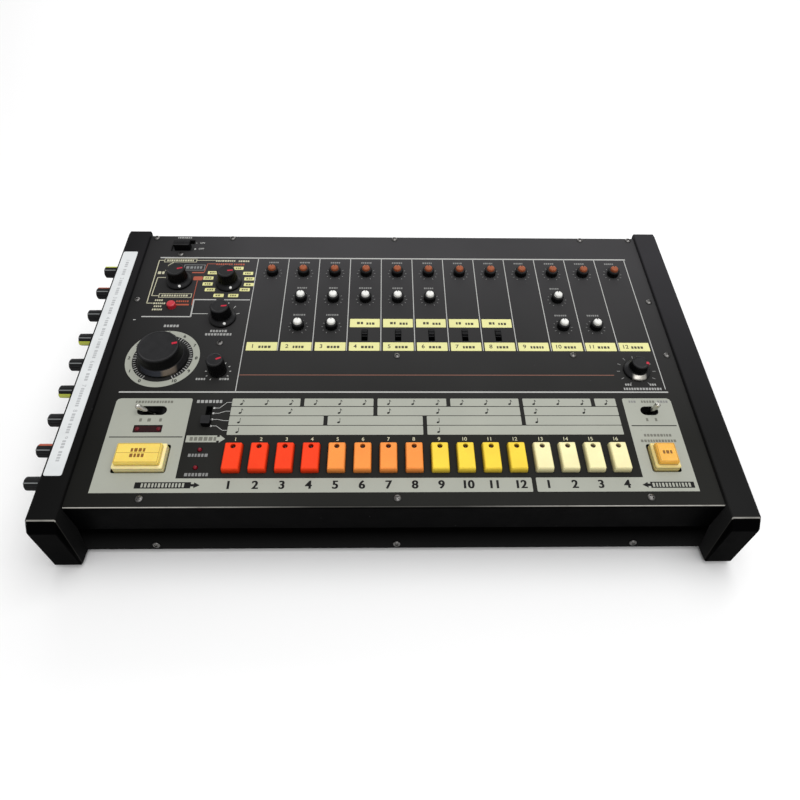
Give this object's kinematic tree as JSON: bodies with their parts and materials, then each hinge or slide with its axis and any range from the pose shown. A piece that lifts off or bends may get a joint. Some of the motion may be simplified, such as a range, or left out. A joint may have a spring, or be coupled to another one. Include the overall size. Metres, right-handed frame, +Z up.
{
  "type": "drum machine",
  "caption": "Drum machine with a sloping black panel, rows of small knobs, a tempo dial, coloured step keys and side knobs.",
  "frame": {"origin": "under the middle of the bounding box, on the table", "axes": "+X to the player's right, +Y to the back, +Z up"},
  "size_m": [0.5214, 0.3049, 0.1083],
  "materials": {
    "panel_paint": "satin black enamel with printed legends",
    "tray_paint": "satin black enamel",
    "cheek_plastic": "fine-grained black moulding",
    "screw_steel": "blackened pan head screws",
    "foot_rubber": "matte",
    "white_label": "smooth white strip",
    "lamp_red": "clear dark red lens",
    "board_green": "lacquered boards with metal-cased controls",
    "transformer_iron": "varnished laminations",
    "socket_black": "satin",
    "knob_black": "semi-gloss",
    "knob_orange": "black body with orange cap",
    "knob_white": "black body with white cap",
    "lever_chrome": "polished",
    "button_amber": "translucent yellow with fine lines",
    "clear_red": "glossy",
    "key_red": "satin",
    "key_orange": "satin",
    "key_yellow": "satin",
    "key_cream": "satin"
  },
  "bodies": {
    "case": {"control_panel": "panel_paint", "chassis": "tray_paint", "left_cheek": "cheek_plastic", "right_cheek": "cheek_plastic", "panel_screws": "screw_steel", "rubber_feet": "foot_rubber", "label_strip": "white_label", "lamps": "lamp_red", "control_boards": "board_green", "power_transformer": "transformer_iron", "rear_sockets": "socket_black"},
    "level_knob_1": {"level_knob_1": "knob_orange"},
    "level_knob_2": {"level_knob_2": "knob_orange"},
    "level_knob_3": {"level_knob_3": "knob_orange"},
    "level_knob_4": {"level_knob_4": "knob_orange"},
    "level_knob_5": {"level_knob_5": "knob_orange"},
    "level_knob_6": {"level_knob_6": "knob_orange"},
    "level_knob_7": {"level_knob_7": "knob_orange"},
    "level_knob_8": {"level_knob_8": "knob_orange"},
    "level_knob_9": {"level_knob_9": "knob_orange"},
    "level_knob_10": {"level_knob_10": "knob_orange"},
    "level_knob_11": {"level_knob_11": "knob_orange"},
    "level_knob_12": {"level_knob_12": "knob_orange"},
    "tone_knob_2": {"tone_knob_2": "knob_white"},
    "tone_knob_3": {"tone_knob_3": "knob_white"},
    "tone_knob_4": {"tone_knob_4": "knob_white"},
    "tone_knob_5": {"tone_knob_5": "knob_white"},
    "tone_knob_6": {"tone_knob_6": "knob_white"},
    "tone_knob_10": {"tone_knob_10": "knob_white"},
    "decay_knob_2": {"decay_knob_2": "knob_white"},
    "decay_knob_3": {"decay_knob_3": "knob_white"},
    "decay_knob_10": {"decay_knob_10": "knob_white"},
    "decay_knob_11": {"decay_knob_11": "knob_white"},
    "side_knob_1": {"side_knob_1": "knob_black"},
    "side_knob_2": {"side_knob_2": "knob_black"},
    "side_knob_3": {"side_knob_3": "knob_black"},
    "side_knob_4": {"side_knob_4": "knob_black"},
    "side_knob_5": {"side_knob_5": "knob_black"},
    "side_knob_6": {"side_knob_6": "knob_black"},
    "side_knob_7": {"side_knob_7": "knob_black"},
    "side_knob_8": {"side_knob_8": "knob_black"},
    "side_knob_9": {"side_knob_9": "knob_black"},
    "tempo_dial": {"tempo_dial": "knob_black"},
    "mode_knob": {"mode_knob": "knob_black"},
    "instrument_knob": {"instrument_knob": "knob_black"},
    "fill_knob": {"fill_knob": "knob_black"},
    "fine_tempo_knob": {"fine_tempo_knob": "knob_black"},
    "master_volume_knob": {"master_volume_knob": "knob_black"},
    "sound_switches": {"sound_switches": "knob_black"},
    "scale_switch": {"scale_switch": "knob_black"},
    "power_switch": {"power_switch": "knob_black"},
    "variation_lever": {"variation_lever": "lever_chrome"},
    "fill_lever": {"fill_lever": "lever_chrome"},
    "start_stop_button": {"start_stop_button": "button_amber"},
    "tap_button": {"tap_button": "button_amber"},
    "clear_button": {"clear_button": "clear_red"},
    "red_step_keys": {"red_step_keys": "key_red"},
    "orange_step_keys": {"orange_step_keys": "key_orange"},
    "yellow_step_keys": {"yellow_step_keys": "key_yellow"},
    "cream_step_keys": {"cream_step_keys": "key_cream"}
  },
  "joints": [
    {"name": "level_knob_1_turn", "type": "hinge", "parent": "case", "child": "level_knob_1", "pos_m": [-0.10505, 0.0977, 0.09372], "axis": [0, -0.1488, 0.9889], "range_deg": [-150, 150]},
    {"name": "level_knob_2_turn", "type": "hinge", "parent": "case", "child": "level_knob_2", "pos_m": [-0.07655, 0.0977, 0.09372], "axis": [0, -0.1488, 0.9889], "range_deg": [-150, 150]},
    {"name": "level_knob_3_turn", "type": "hinge", "parent": "case", "child": "level_knob_3", "pos_m": [-0.04805, 0.0977, 0.09372], "axis": [0, -0.1488, 0.9889], "range_deg": [-150, 150]},
    {"name": "level_knob_4_turn", "type": "hinge", "parent": "case", "child": "level_knob_4", "pos_m": [-0.01955, 0.0977, 0.09372], "axis": [0, -0.1488, 0.9889], "range_deg": [-150, 150]},
    {"name": "level_knob_5_turn", "type": "hinge", "parent": "case", "child": "level_knob_5", "pos_m": [0.00895, 0.0977, 0.09372], "axis": [0, -0.1488, 0.9889], "range_deg": [-150, 150]},
    {"name": "level_knob_6_turn", "type": "hinge", "parent": "case", "child": "level_knob_6", "pos_m": [0.03745, 0.0977, 0.09372], "axis": [0, -0.1488, 0.9889], "range_deg": [-150, 150]},
    {"name": "level_knob_7_turn", "type": "hinge", "parent": "case", "child": "level_knob_7", "pos_m": [0.06595, 0.0977, 0.09372], "axis": [0, -0.1488, 0.9889], "range_deg": [-150, 150]},
    {"name": "level_knob_8_turn", "type": "hinge", "parent": "case", "child": "level_knob_8", "pos_m": [0.09445, 0.0977, 0.09372], "axis": [0, -0.1488, 0.9889], "range_deg": [-150, 150]},
    {"name": "level_knob_9_turn", "type": "hinge", "parent": "case", "child": "level_knob_9", "pos_m": [0.12295, 0.0977, 0.09372], "axis": [0, -0.1488, 0.9889], "range_deg": [-150, 150]},
    {"name": "level_knob_10_turn", "type": "hinge", "parent": "case", "child": "level_knob_10", "pos_m": [0.15145, 0.0977, 0.09372], "axis": [0, -0.1488, 0.9889], "range_deg": [-150, 150]},
    {"name": "level_knob_11_turn", "type": "hinge", "parent": "case", "child": "level_knob_11", "pos_m": [0.17995, 0.0977, 0.09372], "axis": [0, -0.1488, 0.9889], "range_deg": [-150, 150]},
    {"name": "level_knob_12_turn", "type": "hinge", "parent": "case", "child": "level_knob_12", "pos_m": [0.20845, 0.0977, 0.09372], "axis": [0, -0.1488, 0.9889], "range_deg": [-150, 150]},
    {"name": "tone_knob_2_turn", "type": "hinge", "parent": "case", "child": "tone_knob_2", "pos_m": [-0.07655, 0.06507, 0.08881], "axis": [0, -0.1488, 0.9889], "range_deg": [-150, 150]},
    {"name": "tone_knob_3_turn", "type": "hinge", "parent": "case", "child": "tone_knob_3", "pos_m": [-0.04805, 0.06507, 0.08881], "axis": [0, -0.1488, 0.9889], "range_deg": [-150, 150]},
    {"name": "tone_knob_4_turn", "type": "hinge", "parent": "case", "child": "tone_knob_4", "pos_m": [-0.01955, 0.06507, 0.08881], "axis": [0, -0.1488, 0.9889], "range_deg": [-150, 150]},
    {"name": "tone_knob_5_turn", "type": "hinge", "parent": "case", "child": "tone_knob_5", "pos_m": [0.00895, 0.06507, 0.08881], "axis": [0, -0.1488, 0.9889], "range_deg": [-150, 150]},
    {"name": "tone_knob_6_turn", "type": "hinge", "parent": "case", "child": "tone_knob_6", "pos_m": [0.03745, 0.06507, 0.08881], "axis": [0, -0.1488, 0.9889], "range_deg": [-150, 150]},
    {"name": "tone_knob_10_turn", "type": "hinge", "parent": "case", "child": "tone_knob_10", "pos_m": [0.15145, 0.06507, 0.08881], "axis": [0, -0.1488, 0.9889], "range_deg": [-150, 150]},
    {"name": "decay_knob_2_turn", "type": "hinge", "parent": "case", "child": "decay_knob_2", "pos_m": [-0.07655, 0.03244, 0.0839], "axis": [0, -0.1488, 0.9889], "range_deg": [-150, 150]},
    {"name": "decay_knob_3_turn", "type": "hinge", "parent": "case", "child": "decay_knob_3", "pos_m": [-0.04805, 0.03244, 0.0839], "axis": [0, -0.1488, 0.9889], "range_deg": [-150, 150]},
    {"name": "decay_knob_10_turn", "type": "hinge", "parent": "case", "child": "decay_knob_10", "pos_m": [0.15145, 0.03244, 0.0839], "axis": [0, -0.1488, 0.9889], "range_deg": [-150, 150]},
    {"name": "decay_knob_11_turn", "type": "hinge", "parent": "case", "child": "decay_knob_11", "pos_m": [0.17995, 0.03244, 0.0839], "axis": [0, -0.1488, 0.9889], "range_deg": [-150, 150]},
    {"name": "side_knob_1_turn", "type": "hinge", "parent": "case", "child": "side_knob_1", "pos_m": [-0.24725, 0.10626, 0.08793], "axis": [-1, 0, 0], "range_deg": [-150, 150]},
    {"name": "side_knob_2_turn", "type": "hinge", "parent": "case", "child": "side_knob_2", "pos_m": [-0.24725, 0.07897, 0.08382], "axis": [-1, 0, 0], "range_deg": [-150, 150]},
    {"name": "side_knob_3_turn", "type": "hinge", "parent": "case", "child": "side_knob_3", "pos_m": [-0.24725, 0.05167, 0.07971], "axis": [-1, 0, 0], "range_deg": [-150, 150]},
    {"name": "side_knob_4_turn", "type": "hinge", "parent": "case", "child": "side_knob_4", "pos_m": [-0.24725, 0.02438, 0.07561], "axis": [-1, 0, 0], "range_deg": [-150, 150]},
    {"name": "side_knob_5_turn", "type": "hinge", "parent": "case", "child": "side_knob_5", "pos_m": [-0.24725, -0.00291, 0.0715], "axis": [-1, 0, 0], "range_deg": [-150, 150]},
    {"name": "side_knob_6_turn", "type": "hinge", "parent": "case", "child": "side_knob_6", "pos_m": [-0.24725, -0.0302, 0.06739], "axis": [-1, 0, 0], "range_deg": [-150, 150]},
    {"name": "side_knob_7_turn", "type": "hinge", "parent": "case", "child": "side_knob_7", "pos_m": [-0.24725, -0.0575, 0.06328], "axis": [-1, 0, 0], "range_deg": [-150, 150]},
    {"name": "side_knob_8_turn", "type": "hinge", "parent": "case", "child": "side_knob_8", "pos_m": [-0.24725, -0.08479, 0.05917], "axis": [-1, 0, 0], "range_deg": [-150, 150]},
    {"name": "side_knob_9_turn", "type": "hinge", "parent": "case", "child": "side_knob_9", "pos_m": [-0.24725, -0.11208, 0.05507], "axis": [-1, 0, 0], "range_deg": [-150, 150]},
    {"name": "tempo_dial_turn", "type": "hinge", "parent": "case", "child": "tempo_dial", "pos_m": [-0.18375, -0.00297, 0.07857], "axis": [0, -0.1488, 0.9889], "range_deg": [-79, 221]},
    {"name": "mode_knob_turn", "type": "hinge", "parent": "case", "child": "mode_knob", "pos_m": [-0.18765, 0.08643, 0.09202], "axis": [0, -0.1488, 0.9889], "range_deg": [-57, 183]},
    {"name": "instrument_knob_turn", "type": "hinge", "parent": "case", "child": "instrument_knob", "pos_m": [-0.14305, 0.08455, 0.09174], "axis": [0, -0.1488, 0.9889], "range_deg": [-140, 190]},
    {"name": "fill_knob_turn", "type": "hinge", "parent": "case", "child": "fill_knob", "pos_m": [-0.14205, 0.04163, 0.08528], "axis": [0, -0.1488, 0.9889], "range_deg": [-60, 130]},
    {"name": "fine_tempo_knob_turn", "type": "hinge", "parent": "case", "child": "fine_tempo_knob", "pos_m": [-0.13705, -0.01592, 0.07662], "axis": [0, -0.1488, 0.9889], "range_deg": [-95, 205]},
    {"name": "master_volume_knob_turn", "type": "hinge", "parent": "case", "child": "master_volume_knob", "pos_m": [0.20395, -0.01552, 0.07668], "axis": [0, -0.1488, 0.9889], "range_deg": [-60, 240]},
    {"name": "sound_switches_travel", "type": "slide", "parent": "case", "child": "sound_switches", "axis": [0, -0.9889, -0.1488], "range_m": [0, 0.005]},
    {"name": "scale_switch_travel", "type": "slide", "parent": "case", "child": "scale_switch", "axis": [0, 0.9889, 0.1488], "range_m": [0, 0.0117]},
    {"name": "power_switch_travel", "type": "slide", "parent": "case", "child": "power_switch", "axis": [0, 0.9889, 0.1488], "range_m": [0, 0.004]},
    {"name": "variation_lever_turn", "type": "hinge", "parent": "case", "child": "variation_lever", "pos_m": [-0.18155, -0.05332, 0.06442], "axis": [0, 0.9889, 0.1488], "range_deg": [0, 76]},
    {"name": "fill_lever_turn", "type": "hinge", "parent": "case", "child": "fill_lever", "pos_m": [0.20495, -0.05371, 0.06436], "axis": [0, 0.9889, 0.1488], "range_deg": [-31, 0]},
    {"name": "start_stop_button_travel", "type": "slide", "parent": "case", "child": "start_stop_button", "axis": [0, 0.1488, -0.9889], "range_m": [0, 0.003], "stiffness_N_per_m": 400, "springref_m": -0.002},
    {"name": "tap_button_travel", "type": "slide", "parent": "case", "child": "tap_button", "axis": [0, 0.1488, -0.9889], "range_m": [0, 0.003], "stiffness_N_per_m": 300, "springref_m": -0.002},
    {"name": "clear_button_travel", "type": "slide", "parent": "case", "child": "clear_button", "axis": [0, 0.1488, -0.9889], "range_m": [0, 0.003], "stiffness_N_per_m": 200, "springref_m": -0.002},
    {"name": "red_step_keys_travel", "type": "slide", "parent": "case", "child": "red_step_keys", "axis": [0, 0.1488, -0.9889], "range_m": [0, 0.0022], "stiffness_N_per_m": 600, "springref_m": -0.002},
    {"name": "orange_step_keys_travel", "type": "slide", "parent": "case", "child": "orange_step_keys", "axis": [0, 0.1488, -0.9889], "range_m": [0, 0.0022], "stiffness_N_per_m": 600, "springref_m": -0.002},
    {"name": "yellow_step_keys_travel", "type": "slide", "parent": "case", "child": "yellow_step_keys", "axis": [0, 0.1488, -0.9889], "range_m": [0, 0.0022], "stiffness_N_per_m": 600, "springref_m": -0.002},
    {"name": "cream_step_keys_travel", "type": "slide", "parent": "case", "child": "cream_step_keys", "axis": [0, 0.1488, -0.9889], "range_m": [0, 0.0022], "stiffness_N_per_m": 600, "springref_m": -0.002}
  ]
}
